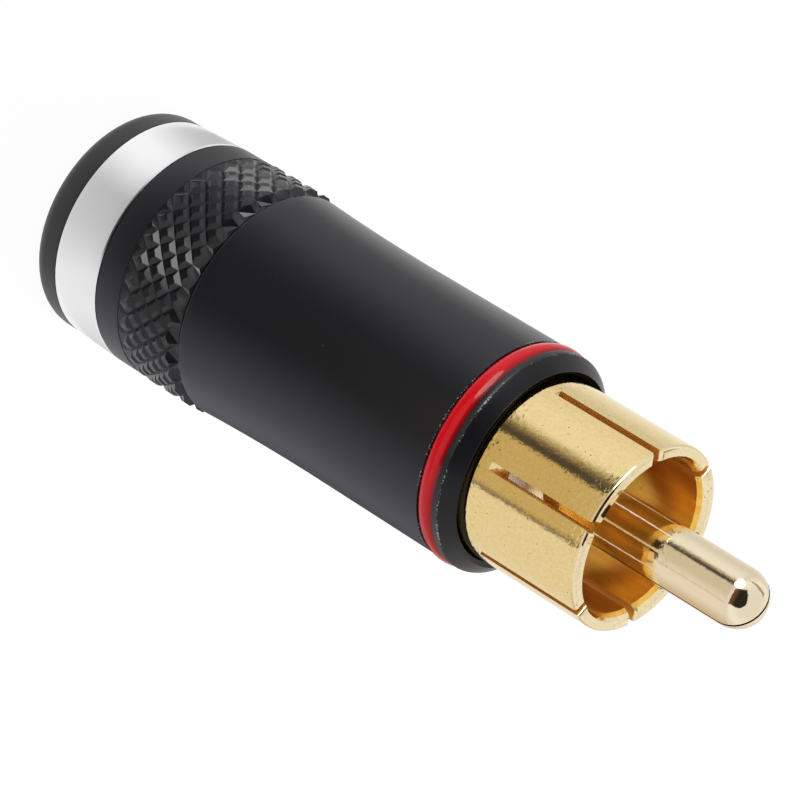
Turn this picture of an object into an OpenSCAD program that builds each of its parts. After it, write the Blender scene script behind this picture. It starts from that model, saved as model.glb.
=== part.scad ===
// Phono (RCA) cable plug: a slotted ground collar and a split centre pin in a black barrel,
// closed at the back by a knurled clamp nut that squeezes a chuck on the cable.
// The plug stands on its rear face; +Z runs along the axis towards the tip of the pin.

/* [Contacts] */
// Diameter of the centre pin
pin_d = 3.2; // [2.8:0.05:3.6]
// Length of pin that stands out of the collar
pin_l = 7.6; // [5:0.1:10]
// Width of the saw cut that splits the pin
pin_slit_w = 0.16; // [0.1:0.02:0.3]
// Depth of the saw cut from the tip
pin_slit_l = 10; // [6:0.5:12]
// Turn of the saw cut about the axis
pin_slit_turn = -15; // [-90:5:90]
// Bore of the ground collar, which grips the socket
collar_bore_d = 8.6; // [8.2:0.05:9]
// Wall of the ground collar
collar_wall = 0.85; // [0.7:0.05:1.2]
// Length of collar that stands out of the barrel
collar_l = 7.68; // [6:0.02:10]
// Number of saw cuts in the collar
slot_count = 6; // [3:1:8]
// Width of each saw cut
slot_w = 0.46; // [0.3:0.02:0.8]
// Solid collar left between the barrel and the saw cuts
slot_root = 0.89; // [0.4:0.01:2]
// Length over which the floor of a saw cut runs out
slot_slope = 0.6; // [0.3:0.05:1]
// Turn of the first saw cut about the axis
slot_turn = 40; // [0:5:60]
// Radius on the corners of each saw cut at the mouth
slot_round = 0.34; // [0.34:0.02:0.5]
// Radius on the outer edge of the collar's mouth
mouth_round = 0.26; // [0.1:0.02:0.3]
// Length of the lead-in at the mouth
lead_l = 0.5; // [0.2:0.05:1]
// Radius that the bore gains over the lead-in
lead_r = 0.26; // [0.1:0.02:0.35]
// Thickness of the flange that holds the contact in the barrel
flange_t = 2.6; // [1.5:0.1:4]
// Length of the solder tail
tail_l = 5.8; // [3:0.1:6]
// Thickness of the solder tail
tail_t = 0.7; // [0.4:0.05:1]
// Angle that the solder tail spans
tail_angle = 110; // [60:5:160]

/* [Barrel] */
// Length of the barrel
barrel_l = 19.35; // [18.6:0.01:24]
// Wall of the barrel behind the nose
barrel_wall = 0.66; // [0.5:0.01:1.2]
// Extra radius at the flared rear rim
rim_flare = 0.26; // [0.1:0.02:0.5]
// Length over which the barrel flares
flare_l = 8.7; // [4:0.1:12]
// Radius on the rear rim
rim_round = 0.22; // [0.1:0.02:0.3]
// Length of the nose that the flange rests against
nose_l = 3.02; // [2.6:0.02:4]
// Height of the cone on the nose
nose_cone_h = 0.72; // [0.5:0.02:0.8]
// Width of the chamfer inside the nose
nose_lip = 0.22; // [0.1:0.02:0.3]
// Break on the outer edge of the nose
nose_edge = 0.04; // [0.02:0.01:0.08]
// Open ring between nose and collar
nose_gap = 0.13; // [0.1:0.01:0.3]
// Distance from the colour ring to the front of the nose
ring_setback = 1.05; // [1:0.01:1.4]
// Width of the colour ring
ring_w = 1.06; // [0.6:0.02:1.2]
// Depth of the groove for the colour ring
ring_depth = 0.27; // [0.15:0.01:0.35]
// Height that the colour ring stands proud of the barrel
ring_proud = 0.1; // [0:0.01:0.3]
// Height of the colour ring's crown from its edges
ring_dome = 0.2; // [0.1:0.01:0.22]

/* [Clamp nut] */
// Height of the knurled grip
knurl_h = 4.32; // [3:0.01:8]
// Number of diamonds round the grip
knurl_count = 32; // [24:1:40]
// Turn of the knurl about the axis
knurl_turn = 7.2; // [0:0.1:12]
// Depth of the knurl below the blank
knurl_depth = 0.16; // [0.1:0.01:0.3]
// Height that the knurl's tops are raised over the blank
knurl_raise = 0.05; // [0.02:0.01:0.1]
// Depth to which the knurl slopes down at its front edge
knurl_lead = 0.34; // [0.3:0.02:0.4]
// Height of the smooth band behind the grip
band_h = 1.81; // [1:0.01:4]
// Extra radius of the grip over the barrel's rim
grip_over = 0.1; // [0:0.02:0.5]
// Gap between the grip and the barrel's rim
rim_gap = 0.12; // [0.1:0.01:0.5]
// Chamfer on the rear edge of the band
band_chamfer = 0.15; // [0.05:0.05:0.3]
// Wall of the threaded stem
stem_wall = 0.95; // [0.7:0.05:1.2]
// Relief at both ends of the thread
stem_relief = 0.35; // [0.2:0.05:0.5]

/* [Rear end] */
// Height of the bright trim ring
trim_h = 3.25; // [2.4:0.05:5]
// Wall of the trim ring at its front edge
trim_wall = 0.75; // [0.5:0.05:1]
// Radius that the trim ring loses towards the back
trim_taper = 0.12; // [0:0.02:0.3]
// Chamfer on the edges of the trim ring
trim_edge = 0.06; // [0.04:0.02:0.2]
// Height of the end bush behind the trim ring
bush_h = 1.87; // [1.6:0.01:3]
// Radius on the rear edge of the end bush
bush_round = 1; // [0.6:0.05:1.4]
// Wall of the bush's sleeve inside the nut
bush_wall = 0.8; // [0.5:0.05:1]
// Diameter of the cable hole
cable_d = 6.1; // [4:0.1:6.4]
// Chamfer at the mouth of the cable hole
cable_chamfer = 0.5; // [0.2:0.05:0.8]

/* [Inside] */
// Length of the insulating sleeve
sleeve_l = 6.5; // [6.2:0.1:7]
// Wall of the insulating sleeve
sleeve_wall = 0.35; // [0.2:0.05:0.5]
// Height of the insulator's head over the collar's floor
insulator_head_t = 1.6; // [0.6:0.1:2]
// Diameter of the insulator's head
insulator_head_d = 6.7; // [6:0.1:7.4]
// Solid floor between the collar's bore and the flange
collar_floor = 2.4; // [1.5:0.1:3]
// Number of fingers of the cable chuck
chuck_fingers = 4; // [3:1:6]
// Width of the gaps between the fingers
chuck_gap_w = 0.9; // [0.5:0.1:1.5]
// Height of the cone that closes the fingers
chuck_cone_h = 2.6; // [2:0.1:3.5]
// Thickness of the chuck's front flange
chuck_flange_t = 1.2; // [0.8:0.1:1.3]

/* [Clearances] */
// Radial clearance of the thread
thread_clear = 0.05; // [0.02:0.01:0.1]
// Radial clearance of pieces that are pushed together
push_clear = 0.04; // [0.02:0.01:0.06]
// Radial clearance of the chuck in the nut
chuck_clear = 0.08; // [0.04:0.01:0.1]
// Axial play in front of the chuck
chuck_play = 0.1; // [0.05:0.05:0.3]
// Gap between the stem and the chuck's flange, taken up as the nut is tightened
chuck_gap = 0.65; // [0.3:0.05:1]
// Radius by which the open chuck is wider than the cable hole
chuck_open = 0.35; // [0.2:0.05:0.4]

/* [Hidden] */
$fn = 96;

// Facets on small rounded edges, and how far a cutter runs past the solid that it cuts
arc_steps = 8;
cut = 0.5;
// Height by which the round corners of the saw cuts run past the mouth, and the lead-in's broken edge
slot_over = 0.02;
lead_edge = 0.05;

// Levels along the axis, from the rear face to the tip
z_trim = bush_h;
z_band = z_trim + trim_h;
z_knurl = z_band + band_h;
z_shoulder = z_knurl + knurl_h;
z_rim = z_shoulder + rim_gap;
z_nose = z_rim + barrel_l;
z_mouth = z_nose + collar_l;
z_tip = z_mouth + pin_l;
z_seat = z_nose - nose_l;
z_flange = z_seat - flange_t;
z_sleeve = z_flange - sleeve_l;
z_chuck = z_sleeve - chuck_play;
z_stem = z_chuck - chuck_flange_t - chuck_gap;
z_floor = z_seat + collar_floor;
z_head = z_floor + insulator_head_t;

// Radii, from the collar's bore outwards
r_pin = pin_d / 2;
r_collar_in = collar_bore_d / 2;
r_collar = r_collar_in + collar_wall;
r_nose_hole = r_collar + nose_gap;
flange_step = 0.2;
r_flange = r_nose_hole + flange_step;
r_bore = r_flange + push_clear;
r_barrel = r_bore + barrel_wall;
r_rim = r_barrel + rim_flare;
r_grip = r_rim + grip_over;
r_groove = r_barrel - ring_depth;
r_trim_in = r_grip - trim_wall;
r_spigot = r_trim_in - push_clear;
r_stem = r_bore - thread_clear;
r_nut_bore = r_stem - stem_wall;
r_chuck = r_nut_bore - chuck_clear;
r_cable = cable_d / 2;
r_bush_sleeve = r_cable + bush_wall;
r_bush_seat = r_bush_sleeve + push_clear;
r_sleeve = r_bore - push_clear;
r_sleeve_in = r_sleeve - sleeve_wall;
r_chuck_flange = r_sleeve_in;

// The pin's shank and the insulator that it is pushed into
pin_step = 0.3;
r_shank = r_pin - pin_step;
insulator_wall = 1.3;
r_insulator = r_shank + push_clear + insulator_wall;
insulator_tail = 0.6;
z_insulator = z_flange - insulator_tail;
cup_l = 4;
cup_wall = 0.4;
tail_inset = 0.8;
r_tail = r_sleeve_in - tail_inset;

// Points of an arc about the centre c, in the plane of a section (radius, height)
function arc(c, r, a0, a1) =
    [for (i = [0:arc_steps]) let (a = a0 + (a1 - a0) * i / arc_steps) c + r * [cos(a), sin(a)]];

module revolved(section) rotate_extrude() polygon(section);

module tube(z0, z1, r_in, r_out)
    translate([0, 0, z0])
        difference() {
            cylinder(r = r_out, h = z1 - z0);
            translate([0, 0, -cut]) cylinder(r = r_in, h = z1 - z0 + 2 * cut);
        }

// One saw cut: a slot whose rear end slopes as the blade leaves it, with round corners at the mouth.
// Its outline seen from the side and its outline seen from outside are crossed.
module saw_cut() {
    z_cut = z_nose + slot_root;
    over = cut * slot_slope / collar_wall;
    corner = arc([slot_w / 2 + slot_round, z_mouth - slot_round + slot_over], slot_round, 180, 90);
    right = concat([[slot_w / 2, z_nose]], corner, [[corner[arc_steps][0], z_mouth + cut]]);
    intersection() {
        rotate([90, 0, 0])
            linear_extrude(2 * r_collar, center = true)
                polygon([
                    [r_collar_in - cut, z_cut + slot_slope + over],
                    [r_collar + cut, z_cut - over],
                    [r_collar + cut, z_mouth + 2 * cut],
                    [r_collar_in - cut, z_mouth + 2 * cut]
                ]);
        rotate([90, 0, 90])
            linear_extrude(r_collar + 2 * cut)
                polygon(concat(right, [for (i = [len(right) - 1:-1:0]) [-right[i][0], right[i][1]]]));
    }
}

module ground_contact() color("#E3C583") {
    difference() {
        revolved(concat(
            [
                [r_insulator + push_clear, z_flange],
                [r_flange, z_flange],
                [r_flange, z_seat],
                [r_collar, z_seat]
            ],
            arc([r_collar - mouth_round, z_mouth - mouth_round], mouth_round, 0, 90),
            [
                [r_collar_in + lead_r + lead_edge, z_mouth],
                [r_collar_in + lead_r, z_mouth - lead_edge],
                [r_collar_in, z_mouth - lead_l],
                [r_collar_in, z_floor],
                [r_insulator + push_clear, z_floor]
            ]
        ));
        for (i = [0:slot_count - 1])
            rotate(slot_turn + i * 360 / slot_count) saw_cut();
    }
    // Solder tail: a trough that grows out of the back of the flange
    rotate([0, 0, -90 - tail_angle / 2])
        translate([0, 0, z_flange - tail_l])
            rotate_extrude(angle = tail_angle)
                translate([r_tail - tail_t, 0]) square([tail_t, tail_l + flange_t / 2]);
}

module centre_pin() color("#E8DCC4")
    difference() {
        revolved(concat(
            [
                [0, z_insulator - cup_l],
                [r_shank, z_insulator - cup_l],
                [r_shank, z_head],
                [r_pin, z_head]
            ],
            arc([0, z_tip - r_pin], r_pin, 0, 90)
        ));
        // Split
        rotate(pin_slit_turn)
            translate([-r_pin - cut, -pin_slit_w / 2, z_tip - pin_slit_l])
                cube([2 * r_pin + 2 * cut, pin_slit_w, pin_slit_l + cut]);
        // Solder cup, open on one side
        translate([0, 0, z_insulator - cup_l - cut]) cylinder(r = r_shank - cup_wall, h = cup_l + cut);
        translate([-r_pin, 0, z_insulator - cup_l - cut]) cube([2 * r_pin, r_pin, cup_l / 2 + cut]);
    }

module pin_insulator() color("#E9E6DC")
    difference() {
        union() {
            translate([0, 0, z_insulator]) cylinder(r = r_insulator, h = z_head - z_insulator);
            translate([0, 0, z_floor]) cylinder(d = insulator_head_d, h = insulator_head_t);
        }
        translate([0, 0, z_insulator - cut])
            cylinder(r = r_shank + push_clear, h = z_head - z_insulator + 2 * cut);
    }

module barrel() color("#232325") {
    flare_r = (flare_l * flare_l + rim_flare * rim_flare) / (2 * rim_flare);
    z_ring = z_nose - ring_setback;
    z_cone = z_nose - nose_cone_h;
    r_lip = r_nose_hole + nose_lip;
    cone = nose_cone_h / (r_barrel - r_lip);
    flare = [
        for (i = [0:arc_steps])
            let (z = rim_round + (flare_l - rim_round) * i / arc_steps)
                [r_barrel + flare_r - sqrt(flare_r * flare_r - (flare_l - z) * (flare_l - z)), z_rim + z]
    ];
    rim = arc([flare[0][0] - rim_round, z_rim + rim_round], rim_round, -90, 0);
    revolved(concat(
        [[r_bore, z_rim]],
        rim,
        [for (i = [1:arc_steps]) flare[i]],
        [
            [r_barrel, z_ring - ring_w],
            [r_groove, z_ring - ring_w],
            [r_groove, z_ring],
            [r_barrel, z_ring],
            [r_barrel, z_cone - nose_edge],
            [r_barrel - nose_edge, z_cone + cone * nose_edge],
            [r_lip, z_nose],
            [r_nose_hole, z_nose - nose_lip],
            [r_nose_hole, z_seat],
            [r_bore, z_seat]
        ]
    ));
}

module colour_ring() color("#C4101C") {
    z_ring = z_nose - ring_setback;
    crown = [
        for (i = [0:arc_steps])
            let (t = 2 * i / arc_steps - 1)
                [r_barrel + ring_proud - ring_dome * t * t, z_ring - ring_w / 2 + t * ring_w / 2]
    ];
    revolved(concat(
        [[r_groove + push_clear, z_ring - ring_w]],
        crown,
        [[r_groove + push_clear, z_ring]]
    ));
}

module insulating_sleeve() color("#D9DCDD") tube(z_sleeve, z_flange, r_sleeve_in, r_sleeve);

module cable_chuck() color("#3A3A3D") {
    z_cone = z_band + chuck_clear;
    z_fingers = z_cone + chuck_cone_h;
    r_chuck_in = r_cable + chuck_open;
    finger_l = z_stem - z_cone - cut;
    difference() {
        revolved([
            [r_chuck_in, z_cone],
            [r_bush_seat - chuck_clear, z_cone],
            [r_chuck, z_fingers],
            [r_chuck, z_chuck - chuck_flange_t],
            [r_chuck_flange, z_chuck - chuck_flange_t],
            [r_chuck_flange, z_chuck],
            [r_chuck_in, z_chuck]
        ]);
        for (i = [0:chuck_fingers - 1])
            rotate(i * 360 / chuck_fingers)
                translate([0, -chuck_gap_w / 2, z_cone - cut])
                    cube([r_chuck + cut, chuck_gap_w, finger_l + cut]);
    }
}

// Diamond knurl: a closed drum whose wall is a lattice of blunt four-sided pyramids.
// Lattice points whose row and column add up to an even number are tops, the others are valleys.
module knurled_drum() {
    columns = 2 * knurl_count;
    pitch = 2 * PI * r_grip / knurl_count;
    rows = max(4, round(2 * knurl_h / pitch));
    // Half the size of a blunt top, as a share of the pitch
    top_size = 0.42;
    // The rear row lies just under the surface of the smooth band, so that the knurl fades into it
    foot = knurl_raise / 2;
    function top_r(j) =
        j == 0 ? r_grip - foot
        : j == rows ? r_grip - knurl_lead
        : r_grip + knurl_raise;
    function valley_r(j) =
        j == 0 ? r_grip - foot
        : j == rows ? r_grip - knurl_lead
        : r_grip - knurl_depth;
    function at(i, j, r) =
        let (a = 180 * i / knurl_count)
            [r * cos(a), r * sin(a), z_knurl - foot + (knurl_h + foot) * j / rows];
    function is_top(i, j) = (i + j) % 2 == 0;
    // Four points for every lattice point: left, right, below, above; at a valley all four are equal
    function corner(i, j, k) =
        is_top(i, j)
            ? at(
                i + [-1, 1, 0, 0][k] * top_size,
                max(0, min(rows, j + [0, 0, -1, 1][k] * top_size)),
                top_r(j)
            )
            : at(i, j, valley_r(j));
    function id(i, j, k) = 4 * (j * columns + (i + columns) % columns) + k;
    points = concat(
        [for (j = [0:rows]) for (i = [0:columns - 1]) for (k = [0:3]) corner(i, j, k)],
        [at(0, 0, 0), at(0, rows, 0)]
    );
    low = 4 * columns * (rows + 1);
    faces = [
        for (j = [0:rows]) for (i = [0:columns - 1]) if (is_top(i, j))
            each concat(
                // The blunt top
                j == 0 ? [[id(i, j, 0), id(i, j, 3), id(i, j, 1)]]
                    : j == rows ? [[id(i, j, 0), id(i, j, 1), id(i, j, 2)]]
                    : [[id(i, j, 0), id(i, j, 3), id(i, j, 1), id(i, j, 2)]],
                // Slopes towards the row above
                j == rows ? [] : [
                    [id(i, j, 0), id(i - 1, j, 0), id(i, j + 1, 0), id(i, j, 3)],
                    [id(i, j, 3), id(i, j + 1, 0), id(i + 1, j, 0), id(i, j, 1)]
                ],
                // Slopes towards the row below
                j == 0 ? [] : [
                    [id(i, j, 1), id(i + 1, j, 0), id(i, j - 1, 0), id(i, j, 2)],
                    [id(i, j, 2), id(i, j - 1, 0), id(i - 1, j, 0), id(i, j, 0)]
                ],
                // End faces
                j == 0 ? [
                    [low, id(i, j, 1), id(i, j, 0)],
                    [low, id(i, j, 0), id(i - 1, j, 0)],
                    [low, id(i + 1, j, 0), id(i, j, 1)]
                ] : [],
                j == rows ? [
                    [low + 1, id(i, j, 0), id(i, j, 1)],
                    [low + 1, id(i - 1, j, 0), id(i, j, 0)],
                    [low + 1, id(i, j, 1), id(i + 1, j, 0)]
                ] : []
            )
    ];
    polyhedron(points, faces);
}

module clamp_nut() color("#232325") {
    z_cone = z_band;
    r_core = r_stem - stem_relief;
    difference() {
        union() {
            revolved([
                [0, z_trim],
                [r_spigot, z_trim],
                [r_spigot, z_band],
                [r_grip - band_chamfer, z_band],
                [r_grip, z_band + band_chamfer],
                [r_grip, z_knurl],
                [r_core, z_knurl],
                [r_core, z_rim],
                [r_stem, z_rim + stem_relief],
                [r_stem, z_stem - stem_relief],
                [r_core, z_stem],
                [0, z_stem]
            ]);
            rotate(knurl_turn) knurled_drum();
        }
        // Bore for the bush, cone that closes the chuck, bore for the chuck
        revolved([
            [0, z_trim - cut],
            [r_bush_seat, z_trim - cut],
            [r_bush_seat, z_cone],
            [r_nut_bore, z_cone + chuck_cone_h],
            [r_nut_bore, z_stem + cut],
            [0, z_stem + cut]
        ]);
    }
}

module trim_ring() color("#DCDCDE")
    revolved([
        [r_trim_in, z_trim],
        [r_grip - trim_taper - trim_edge, z_trim],
        [r_grip - trim_taper, z_trim + trim_edge],
        [r_grip, z_band - trim_edge],
        [r_grip - trim_edge, z_band],
        [r_trim_in, z_band]
    ]);

module end_bush() color("#1C1C1E") {
    r_bush = r_grip - trim_taper;
    sleeve_h = trim_h - chuck_play;
    revolved(concat(
        [
            [r_cable, cable_chamfer],
            [r_cable + cable_chamfer, 0]
        ],
        arc([r_bush - bush_round, bush_round], bush_round, -90, 0),
        [
            [r_bush, z_trim],
            [r_bush_sleeve, z_trim],
            [r_bush_sleeve, z_trim + sleeve_h],
            [r_cable, z_trim + sleeve_h]
        ]
    ));
}

ground_contact();
centre_pin();
pin_insulator();
barrel();
colour_ring();
insulating_sleeve();
cable_chuck();
clamp_nut();
trim_ring();
end_bush();
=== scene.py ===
# %% [markdown]
# # A phono plug, dressed for its photograph
#
# The plug is a stack of turned metal pieces: a slotted, gold plated collar round a split pin, a satin
# black barrel with a red ring let into it, and a clamp nut with a diamond knurl, a bright trim ring and
# a black end bush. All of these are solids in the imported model, so this script doesn't model them again.
# It gives each one its finish, and sets the camera and the light.

import math

import bpy
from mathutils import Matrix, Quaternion, Vector


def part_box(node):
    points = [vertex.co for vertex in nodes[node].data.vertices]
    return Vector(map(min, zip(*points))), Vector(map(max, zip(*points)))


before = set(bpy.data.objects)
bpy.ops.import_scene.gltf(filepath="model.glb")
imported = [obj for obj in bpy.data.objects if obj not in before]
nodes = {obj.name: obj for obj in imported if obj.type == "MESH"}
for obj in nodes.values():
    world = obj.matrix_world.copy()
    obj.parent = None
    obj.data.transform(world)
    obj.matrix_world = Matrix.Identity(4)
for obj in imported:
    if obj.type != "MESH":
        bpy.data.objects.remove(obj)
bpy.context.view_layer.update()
MM = 0.001
print("nodes:", ", ".join(sorted(nodes)))

# %% [markdown]
# ## Places on the plug
#
# A finish often changes at an edge: the rim of the collar, the groove of the red ring, the bevel of the
# nose. The boxes of the pieces give the heights of these edges above the rear face and the radii of the
# walls, all in millimetres, so the finishes follow the solids.


# %% Heights and radii
def lowest(piece):
    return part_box(piece)[0].z / MM


def highest(piece):
    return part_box(piece)[1].z / MM


def outermost(piece):
    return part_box(piece)[1].x / MM


rim_z = highest("ground_contact") - 0.25  # where the rounded lip of the petals starts
nose_z = highest("barrel") - 0.72  # where the bevel of the nose starts
groove_z = lowest("colour_ring") - 0.03  # the edge just behind the red ring
crown_z = lowest("colour_ring") + 0.51  # the crown of the red ring
groove_r = outermost("colour_ring") - 0.28  # just above the bottom of the ring's groove
thread_r = outermost("insulating_sleeve") + 0.05  # just inside the bore that the stem screws into
knurl_low = highest("trim_ring") + 1.88  # the smooth band ends here
knurl_high = lowest("barrel") - 0.07  # the rear rim of the barrel starts just above
middle_z = (lowest("end_bush") + highest("centre_pin")) / 2
dome_z = highest("centre_pin") - 2  # just behind the round tip of the pin
print("knurl from", round(knurl_low, 2), "to", round(knurl_high, 2), "mm, nose at", round(nose_z, 2), "mm")

# %% [markdown]
# ## Helpers
#
# Colours are picked as sRGB hex values, as a colour picker shows them, and Blender's shaders work in
# linear light, so one function turns one into the other. A second one adds a node: it takes the node's
# properties and what goes into its inputs. The short ones after it wrap that for steps that come up in
# nearly every finish, which keeps a material readable from top to bottom.


# %% Colour and node helpers
def colour(hex_value):
    channels = [int(hex_value[i : i + 2], 16) / 255 for i in (1, 3, 5)]
    return tuple(c / 12.92 if c <= 0.04045 else ((c + 0.055) / 1.055) ** 2.4 for c in channels) + (1.0,)


def add(tree, kind, *inputs, **properties):
    """Adds a node. Each input is (name or number, value), and a node or socket as value is linked."""
    node = tree.nodes.new(kind)
    for name, value in properties.items():
        setattr(node, name, value)
    for socket, value in inputs:
        if isinstance(value, bpy.types.Node):
            value = value.outputs[0]
        if isinstance(value, bpy.types.NodeSocket):
            tree.links.new(value, node.inputs[socket])
        else:
            node.inputs[socket].default_value = value
    return node


def calc(tree, operation, *values):
    """One step of arithmetic, or a comparison that gives 1 for true and 0 for false."""
    return add(tree, "ShaderNodeMath", *enumerate(values), operation=operation)


def span(tree, value, low, high, to_low=0.0, to_high=1.0, **properties):
    """Goes from to_low to to_high while the value goes from low to high, and holds beyond both."""
    ends = zip(("From Min", "From Max", "To Min", "To Max"), (low, high, to_low, to_high))
    return add(tree, "ShaderNodeMapRange", ("Value", value), *ends, **properties)


def between(tree, share, first, second):
    """The first number where the share is 0, the second one where it is 1."""
    return add(tree, "ShaderNodeMix", ("Factor", share), (2, first), (3, second))


def between_colours(tree, share, first, second):
    """The same for colours. Each is a hex value or comes from a node."""
    ends = [colour(end) if isinstance(end, str) else end for end in (first, second)]
    return add(tree, "ShaderNodeMix", ("Factor", share), *enumerate(ends, 6), data_type="RGBA").outputs[2]


def noise(tree, place, size, detail):
    """A cloudy pattern whose patches have the given size, in the units of the place."""
    node = add(tree, "ShaderNodeTexNoise", ("Vector", place), ("Scale", 1 / size), ("Detail", detail))
    return node.outputs["Fac"]


def bump(tree, height, depth, *inputs, strength=1.0):
    """Light falls as on a surface that rises by the depth, in mm, while the height goes from 0 to 1."""
    size = ("Distance", depth * MM)
    return add(tree, "ShaderNodeBump", ("Height", height), ("Strength", strength), size, *inputs)


def new_material(name):
    material = bpy.data.materials.new(name)
    material.use_nodes = True
    material.node_tree.nodes.clear()
    return material, material.node_tree


# %% [markdown]
# ## Camera
#
# A long lens looks down on the standing plug from about 34 degrees, and the camera is rolled until the
# plug lies across the frame with its tip at the lower right. The place, the target and the roll come
# from fitting the circles that the photograph shows as ellipses.

# %% Camera
camera_at = Vector((0.0, -186.79, 145.81)) * MM
camera_to = Vector((0.498, 0.0, 21.68)) * MM
camera_roll = math.radians(121.716)

lens = bpy.data.cameras.new("long_lens")
lens.sensor_width = 36.0
lens.lens = 196.62
lens.clip_start = 0.01
camera = bpy.data.objects.new("camera", lens)
camera.location = camera_at
camera.rotation_mode = "QUATERNION"
aim = (camera_to - camera_at).to_track_quat("-Z", "Y")
camera.rotation_quaternion = aim @ Quaternion((0, 0, 1), camera_roll)
bpy.context.scene.collection.objects.link(camera)
bpy.context.scene.camera = camera
bpy.context.scene.view_settings.view_transform = "Standard"
print("camera", round((camera_to - camera_at).length / MM), "mm from the plug")

# %% [markdown]
# ## Floor
#
# The photograph is a cut-out on white. The floor is white paper: most of it glows, so that it reads as
# white to the eye and in the metal, and the rest is plain diffuse paper that still takes the shadow.
# The light path tells a ray that comes from the camera or off a shiny face from one that only carries
# light on, so the glow doesn't light the plug.


# %% White paper floor
def seen_or_mirrored(tree):
    """1 for a ray from the camera or off a shiny face, 0 for one that only carries light on."""
    path = add(tree, "ShaderNodeLightPath")
    shiny = calc(tree, "MAXIMUM", path.outputs["Is Glossy Ray"], path.outputs["Is Transmission Ray"])
    return calc(tree, "MAXIMUM", path.outputs["Is Camera Ray"], shiny)


GLOW_SHARE = 0.96
FLOOR_HALF = 1.5  # m

paper, tree = new_material("white_paper")
share = calc(tree, "MULTIPLY", seen_or_mirrored(tree), GLOW_SHARE)
glow = add(tree, "ShaderNodeEmission", ("Color", colour("#FFFFFF")), ("Strength", 1.0))
sheet = add(tree, "ShaderNodeBsdfDiffuse", ("Color", colour("#EAEAEA")))
mix = add(tree, "ShaderNodeMixShader", (0, share), (1, sheet), (2, glow))
add(tree, "ShaderNodeOutputMaterial", ("Surface", mix))

floor_mesh = bpy.data.meshes.new("floor")
corners = [(x * FLOOR_HALF, y * FLOOR_HALF, 0) for x, y in ((-1, -1), (1, -1), (1, 1), (-1, 1))]
floor_mesh.from_pydata(corners, [], [(0, 1, 2, 3)])
floor_mesh.materials.append(paper)
floor = bpy.data.objects.new("floor", floor_mesh)
bpy.context.scene.collection.objects.link(floor)
print("floor", 2 * FLOOR_HALF, "m square")

# %% [markdown]
# ## Light
#
# A white room fills in everything. In reflections its walls are brightest a little above the horizon and
# greyer at the floor and the ceiling, which gives round metal its soft steps of tone. One round soft box
# stands low on the left of the camera: it draws the highlight on the tip of the pin and lights the flanks
# of the knurl that face it. A second one above shines down into the collar and is kept out of the
# reflections.

# %% Room and soft boxes
ROOM_LEVEL = 0.8
LAMP_AWAY = 300  # mm

world = bpy.data.worlds.new("white_room")
bpy.context.scene.world = world
world.use_nodes = True
tree = world.node_tree
look = add(tree, "ShaderNodeTexCoord")
up = add(tree, "ShaderNodeSeparateXYZ", ("Vector", look.outputs["Generated"]))
wall = add(tree, "ShaderNodeValToRGB", ("Fac", up.outputs["Z"]))
stops = wall.color_ramp.elements
stops[0].color = colour("#DCDCDC")
stops[1].position = 0.8
stops[1].color = colour("#E7E7E7")
stops.new(0.3).color = colour("#F7F7F7")
level = between(tree, seen_or_mirrored(tree), ROOM_LEVEL, wall)
room = tree.nodes["Background"]
room.inputs["Color"].default_value = colour("#FFFFFF")
tree.links.new(level.outputs[0], room.inputs["Strength"])


def towards(azimuth, elevation):
    """A direction from the plug. Azimuth 0 is the camera's side, 90 is +X."""
    turn, lift = math.radians(azimuth), math.radians(elevation)
    return Vector((math.sin(turn) * math.cos(lift), -math.cos(turn) * math.cos(lift), math.sin(lift)))


def soft_box(name, azimuth, elevation, across, watts):
    """A round lamp some way from the middle of the plug, turned to it."""
    away = towards(azimuth, elevation)
    light = bpy.data.lights.new(name, "AREA")
    light.shape = "DISK"
    light.size = across * MM
    light.energy = watts
    lamp = bpy.data.objects.new(name, light)
    lamp.location = (Vector((0, 0, middle_z)) + away * LAMP_AWAY) * MM
    lamp.rotation_mode = "QUATERNION"
    lamp.rotation_quaternion = (-away).to_track_quat("-Z", "Y")
    bpy.context.scene.collection.objects.link(lamp)
    print(name, across, "mm across,", watts, "W")
    return lamp


soft_box("key_box", -44, 6, across=190, watts=0.42)
soft_box("top_box", 180, 66, across=120, watts=0.7).visible_glossy = False

# %% [markdown]
# ## Reflector cards
#
# Polished round metal shows its surroundings more than its own colour. The upright sides of the plug
# mirror the floor around its foot, and the higher a face stands, the further out is what it mirrors. So
# rings of card lie there, seen only in reflections, one for each height: bright at the sides, darker or
# tinted towards the camera, and for the gold with one narrow dark strip that draws the streak along collar
# and pin. There the borders between tones are frayed, as plate is never quite even.


# %% Rings of card
def reflected_only(name, mesh):
    card = bpy.data.objects.new(name, mesh)
    card.visible_camera = card.visible_diffuse = card.visible_shadow = False
    card.visible_transmission = card.visible_volume_scatter = False
    bpy.context.scene.collection.objects.link(card)
    return card


def glowing(tree, tone):
    """Ends a card's material: it shines by itself, at strength 1, so the tone is seen as it is."""
    shine = add(tree, "ShaderNodeEmission", ("Color", tone), ("Strength", 1.0))
    add(tree, "ShaderNodeOutputMaterial", ("Surface", shine))


CARD_LIFT = 0.05  # mm above the floor
TEAR_WIDTH = 1.2  # mm along the radius
TEAR_LENGTH = 12  # degrees round the ring


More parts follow.
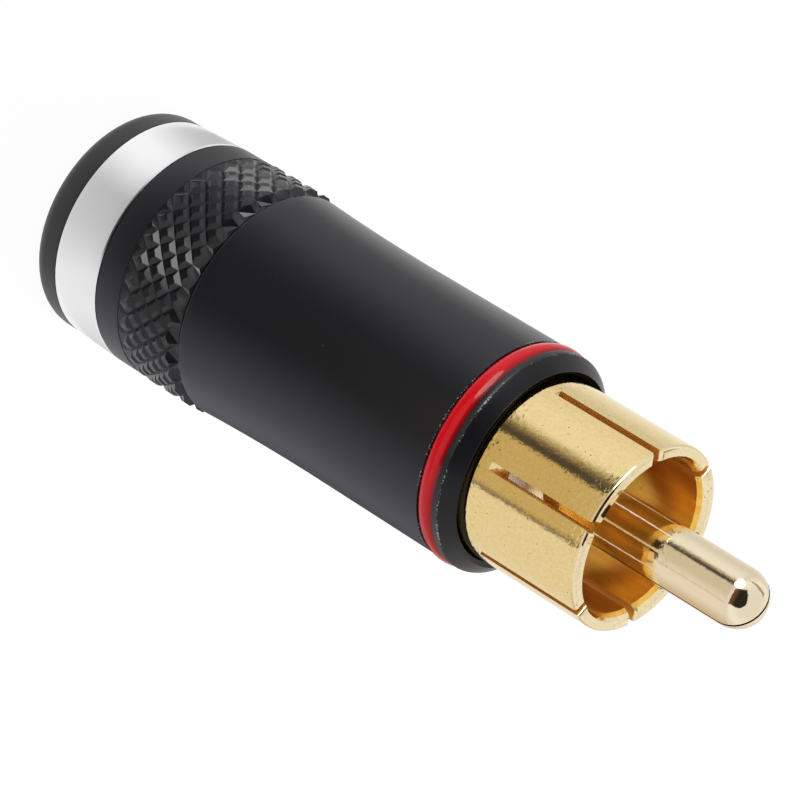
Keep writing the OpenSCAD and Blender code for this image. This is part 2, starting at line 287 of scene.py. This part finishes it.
def card_ring(name, inner, outer, tones, fray=0.0, fade_from=None):
    """A flat ring on the floor. Tones are (azimuth from the camera's side, hex value).

    The borders between tones are torn to and fro by up to fray degrees. From the radius fade_from
    outwards the ring fades into the tone of the wall.
    """
    material, tree = new_material(name)
    place = add(tree, "ShaderNodeTexCoord").outputs["Object"]
    around = add(tree, "ShaderNodeTexGradient", ("Vector", place), gradient_type="RADIAL").outputs["Fac"]
    reach = add(tree, "ShaderNodeVectorMath", (0, place), operation="LENGTH").outputs["Value"]
    outwards = calc(tree, "MULTIPLY", reach, 1 / (TEAR_WIDTH * MM))
    sideways = calc(tree, "MULTIPLY", around, 360 / TEAR_LENGTH)
    spot = add(tree, "ShaderNodeCombineXYZ", ("X", outwards), ("Y", sideways))
    shift = span(tree, noise(tree, spot, 1.0, 3.0), 0.25, 0.75, -fray / 360, fray / 360)
    ramp = add(tree, "ShaderNodeValToRGB", ("Fac", calc(tree, "ADD", around, shift)))
    stops = ramp.color_ramp.elements
    for azimuth, tone in tones:
        stops.new(azimuth / 360 + 0.5).color = colour(tone)
    stops.remove(stops[0])
    stops.remove(stops[-1])
    fade_start = (fade_from or outer) * MM
    fade = span(tree, reach, fade_start, (outer + 1) * MM, interpolation_type="SMOOTHSTEP")
    glowing(tree, between_colours(tree, fade, ramp, "#DCDCDC"))

    count = 96
    turns = [2 * math.pi * i / count for i in range(count)]
    ring = [Vector((r * math.cos(t), r * math.sin(t), CARD_LIFT)) for r in (inner, outer) for t in turns]
    faces = [(i, (i + 1) % count, count + (i + 1) % count, count + i) for i in range(count)]
    mesh = bpy.data.meshes.new(name)
    mesh.from_pydata([point * MM for point in ring], [], faces)
    mesh.materials.append(material)
    reflected_only(name, mesh).rotation_euler.z = math.radians(-90)
    print(name, inner, "to", outer, "mm,", len(tones), "tones")


# %% [markdown]
# A small palette is enough for all the rings: neutral tones for the nickel, cool ones for the black coat
# and warm ones for the gold. They were fitted until the streaks agreed with the photograph, and rounded.
# The radii are those at which the mirror image passes from one piece to the next as the camera sees it:
# the radius of a face, plus its height over the tangent of the camera's angle down to it.

# %% Tones and places of the rings
WHITE = "#FFFFFF"
BRIGHT = "#F0F0F0"
ASH = "#D8D8D8"
GREY = "#CCCCCC"
DIM = "#C0C0C0"
DARK = "#505050"
BLACK = "#404040"
COOL = "#E4E4F0"
SLATE = "#888894"
LINEN = "#E8E4E0"
SAND = "#D0CABC"
TAN = "#C8B894"
CLAY = "#D4B8A0"
BROWN = "#908470"
UMBER = "#504C48"
SOOT = "#34322C"

FOOT_R = 8
TRIM_ENDS = 13.4
BARREL_ENDS = 52.5
COLLAR_ENDS = 70.5
FADE_FROM = 100
FAR_R = 1400

foot_tones = [(-179, BRIGHT), (-128, BRIGHT), (-108, DIM), (-85, GREY), (-55, WHITE), (-40, WHITE)]
foot_tones += [(-12, DIM), (15, GREY), (50, BRIGHT), (80, BRIGHT), (130, GREY), (179, DIM)]
card_ring("card_by_the_foot", FOOT_R, TRIM_ENDS, foot_tones)

barrel_tones = [(-179, BLACK), (-173, BLACK), (-166, WHITE), (-125, WHITE), (-105, GREY), (-70, COOL)]
barrel_tones += [(-45, SLATE), (-25, DARK), (25, DARK), (70, COOL), (110, COOL), (140, SLATE), (165, BLACK)]
barrel_tones += [(179, BLACK)]
card_ring("card_round_the_barrel", TRIM_ENDS, BARREL_ENDS, barrel_tones)

# The dark strip is soft on its left and sharp on its right, and a thin line lies on the other side
collar_tones = [(-179, WHITE), (-140, BRIGHT), (-110, ASH), (-90, LINEN), (-65, BRIGHT), (-43, BRIGHT)]
collar_tones += [(-38, SAND), (-33, BROWN), (-27, UMBER), (-18.5, UMBER), (-17, TAN), (38, TAN)]
collar_tones += [(44, BROWN), (46, UMBER), (47, LINEN), (110, LINEN), (179, BRIGHT)]
card_ring("card_round_the_collar", BARREL_ENDS, COLLAR_ENDS, collar_tones, fray=5)

pin_tones = [(-179, WHITE), (-150, LINEN), (-110, ASH), (-70, BRIGHT), (-52, BRIGHT), (-46, SAND)]
pin_tones += [(-40, BROWN), (-34, UMBER), (-26.5, SOOT), (-24.5, SAND), (10, SAND), (40.5, LINEN)]
pin_tones += [(42, BROWN), (44, LINEN), (80, LINEN), (110, SAND), (130, CLAY), (179, BRIGHT)]
card_ring("card_round_the_pin", COLLAR_ENDS, FAR_R, pin_tones, fray=7, fade_from=FADE_FROM)

# %% [markdown]
# ## Leaning cards
#
# Whoever takes the photograph leaves a dark patch in every shiny face that looks back. A leaning card
# stands for that: it darkens the front of the nose and draws the dark window on the tip of the pin.
# A grey strip on the left stands for the far edge of the table.

# %% Cards round the tip of the pin
CARD_AWAY = 200  # mm from the tip
SPLIT_HEIGHT = 105  # mm, where the tone changes
SPLIT_SOFT = 15  # mm to either side of it


def leaning_card(name, corners, low_tone, high_tone):
    """A card whose corners are given as (azimuth, elevation) from the tip of the pin."""
    tip = Vector((0, 0, dome_z))
    mesh = bpy.data.meshes.new(name)
    points = [(tip + towards(*corner) * CARD_AWAY) * MM for corner in corners]
    mesh.from_pydata(points, [], [tuple(range(len(corners)))])
    material, tree = new_material(name)
    place = add(tree, "ShaderNodeTexCoord")
    height = add(tree, "ShaderNodeSeparateXYZ", ("Vector", place.outputs["Object"])).outputs["Z"]
    rise = span(tree, height, (SPLIT_HEIGHT - SPLIT_SOFT) * MM, (SPLIT_HEIGHT + SPLIT_SOFT) * MM)
    glowing(tree, between_colours(tree, rise, low_tone, high_tone))
    mesh.materials.append(material)
    reflected_only(name, mesh)
    print(name, "with", len(corners), "corners")


dark_corners = [(-19, 7), (-47, 36), (-28, 60), (36, 67), (49, 48), (38, 9)]
leaning_card("dark_card", dark_corners, "#6A4A36", "#2A2622")
strip_corners = [(-76, 9), (-100, 24), (-140, 30), (-140, 42), (-105, 38), (-84, 21)]
leaning_card("far_edge", strip_corners, "#A8A294", "#A8A294")

# %% [markdown]
# ## Smooth faces
#
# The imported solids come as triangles. A small modifier shades them as the smooth turned faces they are,
# and keeps the edges that are sharper than a given angle. A second one lets large faces lead where they
# meet small ones, so that a long cylinder isn't shaded as if it bent towards its rounded end.

# %% Smooth shading by angle
SHARP_EDGE = math.radians(24)

smooth = bpy.data.node_groups.new("smooth_turned_faces", "GeometryNodeTree")
smooth.interface.new_socket("Geometry", in_out="INPUT", socket_type="NodeSocketGeometry")
smooth.interface.new_socket("Geometry", in_out="OUTPUT", socket_type="NodeSocketGeometry")
start = add(smooth, "NodeGroupInput")
weld = add(smooth, "GeometryNodeMergeByDistance", ("Geometry", start), ("Distance", 1e-7))
faces = add(smooth, "GeometryNodeSetShadeSmooth", ("Geometry", weld), ("Shade Smooth", True), domain="FACE")
angle = add(smooth, "GeometryNodeInputMeshEdgeAngle").outputs["Unsigned Angle"]
is_sharp = add(smooth, "FunctionNodeCompare", ("A", angle), ("B", SHARP_EDGE), operation="GREATER_THAN")
edges = add(
    smooth,
    "GeometryNodeSetShadeSmooth",
    ("Geometry", faces),
    ("Selection", is_sharp),
    ("Shade Smooth", False),
    domain="EDGE",
)
add(smooth, "NodeGroupOutput", ("Geometry", edges))
for node in nodes.values():
    node.modifiers.new("smooth_turned_faces", "NODES").node_group = smooth
    straight = node.modifiers.new("large_faces_lead", "WEIGHTED_NORMAL")
    straight.mode = "FACE_AREA"
    straight.weight = 100
    straight.keep_sharp = True
print("smoothed", len(nodes), "pieces")

# %% [markdown]
# ## Finishes
#
# Every pattern is placed by the piece's own coordinates in millimetres, so its size is written as a real
# size. Height above the rear face and distance from the axis tell the faces of a turned piece apart, as a
# lathe operator would.


# %% Start and end of a finish
def new_finish(name):
    """A material, its node tree, and a place on the piece in mm."""
    material, tree = new_material(name)
    place = add(tree, "ShaderNodeTexCoord")
    mm = add(tree, "ShaderNodeVectorMath", (0, place.outputs["Object"]), ("Scale", 1 / MM), operation="SCALE")
    return material, tree, mm


def axes_of(tree, mm):
    return add(tree, "ShaderNodeSeparateXYZ", ("Vector", mm)).outputs


def from_axis(tree, mm):
    """The way from the axis of the plug straight out to the place."""
    return add(tree, "ShaderNodeVectorMath", (0, mm), (1, (1, 1, 0)), operation="MULTIPLY")


def speckle(tree, mm, size):
    """Cells of about the given size: the distance from a cell's point, and a number drawn for the cell."""
    cells = add(tree, "ShaderNodeTexVoronoi", ("Vector", mm), ("Scale", 1 / size))
    drawn = add(tree, "ShaderNodeSeparateColor", ("Color", cells.outputs["Color"]))
    return cells.outputs["Distance"], drawn.outputs["Red"]


def surface(tree, base, roughness, *inputs):
    """Ends a finish with one shader."""
    shader = add(tree, "ShaderNodeBsdfPrincipled", ("Base Color", base), ("Roughness", roughness), *inputs)
    add(tree, "ShaderNodeOutputMaterial", ("Surface", shader))


def give(material, *names):
    for name in names:
        nodes[name].data.materials.clear()
        nodes[name].data.materials.append(material)
    print(material.name, "on", ", ".join(names))


# %% [markdown]
# ### Gold plate on the collar
#
# The collar is turned from brass, plated with nickel and then with a thin layer of gold. Polished plate is
# a mirror, but never a perfect one: the brass under it leaves tiny pits, and a soft orange peel that makes
# the edge of every reflection waver. Faces that look into the bore or across a slot get their light only
# after it has gone from gold to gold several times, more often than the renderer follows it. So those
# faces are painted with the amber that such bounces leave: painted reflected light, not the plate's own
# colour.

# %% Gold plate: where it is polished, drilled and sawn
gold, tree, mm = new_finish("gold_plate")
height = axes_of(tree, mm)["Z"]
outwards = add(tree, "ShaderNodeVectorMath", (0, from_axis(tree, mm)), operation="NORMALIZE")
normal = add(tree, "ShaderNodeNewGeometry").outputs["True Normal"]
along = add(tree, "ShaderNodeVectorMath", (0, normal), (1, outwards), operation="DOT_PRODUCT")
facing = along.outputs["Value"]
# Faces that look away from the axis, and the rim at the mouth, stay pale; all others get painted amber bounce
# light
LOOKS_OUT = 0.35
turned_in = calc(tree, "LESS_THAN", facing, LOOKS_OUT)
below_rim = calc(tree, "LESS_THAN", height, rim_z)
painted_bounce_faces = calc(tree, "MULTIPLY", turned_in, below_rim)
polished = calc(tree, "SUBTRACT", 1.0, painted_bounce_faces)
rim = calc(tree, "SUBTRACT", 1.0, below_rim)
# The walls of the slots look neither in nor out
across_slot = calc(tree, "COMPARE", facing, 0.0, LOOKS_OUT)
sawn = calc(tree, "MULTIPLY", across_slot, below_rim)

# %% [markdown]
# The colour goes on in layers, from the plate itself to the smallest marks on it.

# %% Gold plate: colour
# The drill has drawn streaks along the bore, about 0.5 mm wide and 5 mm long; the painted bounce light takes
# two tones along them
per_streak = (1 / 0.5, 1 / 0.5, 1 / 5)
drawn = add(tree, "ShaderNodeVectorMath", (0, mm), (1, per_streak), operation="MULTIPLY")
streak = span(tree, noise(tree, drawn, 1.0, 2.0), 0.4, 0.62)
# Painted reflected light: the amber of bounces between gold faces, on faces that look into the bore or across
# a slot
bore = between_colours(tree, streak, "#F9B448", "#FFCE5E")
plate = between_colours(tree, painted_bounce_faces, "#FDE6AB", bore)
# The rim has rubbed on many sockets, so the nickel under its gold makes it paler
plate = between_colours(tree, rim, plate, "#FCEBC2")
# The grain of the brass shows through as a faint mottle of about 0.15 mm
mottle = span(tree, noise(tree, mm, 0.15, 2.0), 0.35, 0.75, 0.0, 0.4)
plate = between_colours(tree, mottle, plate, "#E2BC6A")
# Nothing was polished in the sawn slots, and the painted bounce light on their walls is browner
plate = between_colours(tree, sawn, plate, "#D69A3E")
# Pits: two in three of the cells of 0.3 mm hold a brown point, up to 0.08 mm across
from_point, lot = speckle(tree, mm, 0.3)
pits = calc(tree, "LESS_THAN", from_point, span(tree, lot, 0.35, 1.0, 0.0, 0.13))
plate = between_colours(tree, pits, plate, "#8A6430")

# %% Gold plate: polish
# Handling has left the polish uneven over areas of about a millimetre
sheen = span(tree, noise(tree, mm, 1.1, 5.0), 0.3, 0.7, 0.03, 0.08)
# The bore is drilled and the slots are sawn, so they are left duller than the polished outside
dull = between(tree, sawn, between(tree, painted_bounce_faces, sheen, 0.2), 0.45)
metal = between(tree, sawn, between(tree, painted_bounce_faces, 1.0, 0.84), 0.65)
# Orange peel of about a quarter of a millimetre, a few micrometres high
peel = bump(tree, noise(tree, mm, 0.24, 1.0), 0.0045, strength=polished)
surface(tree, plate, dull, ("Metallic", metal), ("Normal", peel))
give(gold, "ground_contact")

# %% [markdown]
# ### Pale gold plate on the pin
#
# The pin is plated thinner and polished brighter than the collar, so the nickel under it makes it paler.

# %% Pale gold plate
pale_gold, tree, mm = new_finish("pale_gold_plate")
peel = bump(tree, noise(tree, mm, 0.2, 1.0), 0.0045)
surface(tree, colour("#FBEBCB"), 0.08, ("Metallic", 1.0), ("Normal", peel))
give(pale_gold, "centre_pin")

# %% [markdown]
# ### Satin black coat
#
# Barrel and clamp nut are turned metal under a thin satin black coat. It looks soft and nearly neutral.
# Knocks have bared specks of bright metal along the edge of the nose and behind the groove of the red
# ring, and a few grains of dust lie on it. The thread on the stem is cut, so it is drawn here as a bump
# that winds up the stem at its true pitch; it shows only while the nut is unscrewed.

# %% Satin black coat: thread and grain
black, tree, mm = new_finish("satin_black_coat")
axes = axes_of(tree, mm)
height = axes["Z"]
radius = add(tree, "ShaderNodeVectorMath", (0, from_axis(tree, mm)), operation="LENGTH").outputs["Value"]
# Right-hand thread on the faces inside the bore of the barrel
THREAD_PITCH = 0.75
turn = calc(tree, "ARCTAN2", axes["Y"], axes["X"])
lead = calc(tree, "DIVIDE", turn, 2 * math.pi)
climb = calc(tree, "DIVIDE", height, THREAD_PITCH)
ridge = calc(tree, "PINGPONG", calc(tree, "SUBTRACT", climb, lead), 0.5)
thread = calc(tree, "MULTIPLY", ridge, calc(tree, "LESS_THAN", radius, thread_r))
thread_bump = bump(tree, thread, 0.6)
# Blasting leaves grains of about 0.05 mm, drawn at 0.12 mm so that they show
grain_bump = bump(tree, noise(tree, mm, 0.12, 2.0), 0.004, ("Normal", thread_bump))

# %% Satin black coat: bare specks and dust
# Bands at the heights of the two edges, broken up by noise of 0.1 mm that thins out over 2.5 mm
EDGE_HALF = 0.05
worn = calc(tree, "ADD", noise(tree, mm, 0.1, 3.0), noise(tree, mm, 2.5, 1.0))
edge_groove = calc(tree, "COMPARE", height, groove_z, EDGE_HALF)
edge_nose = calc(tree, "COMPARE", height, nose_z, EDGE_HALF)
outside = calc(tree, "GREATER_THAN", radius, groove_r)
on_edge = calc(tree, "MULTIPLY", calc(tree, "MAXIMUM", edge_groove, edge_nose), outside)
# The edge behind the groove lies deeper than the nose, so less of it is bared
bared = calc(tree, "GREATER_THAN", worn, between(tree, edge_groove, 1.12, 1.18))
specks = calc(tree, "MULTIPLY", on_edge, bared)
# One cell of 0.9 mm in four holds a faint grain of dust
from_point, lot = speckle(tree, mm, 0.9)
near = calc(tree, "LESS_THAN", from_point, 0.04)
grains = calc(tree, "MULTIPLY", near, calc(tree, "LESS_THAN", lot, 0.25))
marks = calc(tree, "MAXIMUM", calc(tree, "MULTIPLY", grains, 0.3), specks)
coat = between_colours(tree, marks, "#0F0F14", "#848482")

# %% Satin black coat: shine
# The knurl is rolled, and the roller leaves its flanks smoother than a turned face
knurl_middle = (knurl_low + knurl_high) / 2
at_knurl = calc(tree, "COMPARE", height, knurl_middle, knurl_high - knurl_middle)
gloss = between(tree, at_knurl, 0.33, 0.24)
# The bevel of the nose is what knocks against sockets, and its coat has lost half of its shine
shine = between(tree, calc(tree, "GREATER_THAN", height, nose_z), 0.5, 0.28)
surface(tree, coat, gloss, ("Specular IOR Level", shine), ("Normal", grain_bump))
give(black, "barrel", "clamp_nut")

# %% [markdown]
# ### Red ring
#
# The ring is moulded in red ABS with a high gloss and pressed into the groove of the barrel. Both edges
# of the ring, where it meets the groove, are painted darker than its crown: painted shade.

# %% Red ABS
red, tree, mm = new_finish("red_abs")
off_crown = calc(tree, "ABSOLUTE", calc(tree, "SUBTRACT", axes_of(tree, mm)["Z"], crown_z))
# Painted shade: the red darkens towards both edges, from 0.2 mm to 0.5 mm off the crown
painted_edge_shade = span(tree, off_crown, 0.2, 0.5)
red_with_painted_shade = between_colours(tree, painted_edge_shade, "#B80614", "#7A040C")
surface(tree, red_with_painted_shade, 0.1, ("Specular IOR Level", 0.3))
give(red, "colour_ring")

# %% [markdown]
# ### The plain pieces
#
# The trim ring is nickel plated and satin, so it takes soft, wide reflections. The end bush is moulded
# black ABS, the chuck is moulded nylon, the insulator is turned PTFE, which looks like wax, and the sleeve
# is a drawn tube of milky PVC. Each is one even colour, so one loop makes them.

# %% Plain finishes
# Piece, colour, metallic, roughness, specular level
plain = {
    "satin_nickel_plate": ("trim_ring", "#F6F6F7", 1.0, 0.25, 0.5),
    "moulded_black_abs": ("end_bush", "#141416", 0.0, 0.42, 0.5),
    "moulded_nylon": ("cable_chuck", "#3A3A3D", 0.0, 0.5, 0.5),
    "turned_ptfe": ("pin_insulator", "#F2F0E8", 0.0, 0.45, 0.3),
    "drawn_pvc": ("insulating_sleeve", "#D9DCDD", 0.0, 0.3, 0.5),
}
for name, (piece, base, metallic, roughness, specular) in plain.items():
    material, tree = new_material(name)
    surface(tree, colour(base), roughness, ("Metallic", metallic), ("Specular IOR Level", specular))
    give(material, piece)
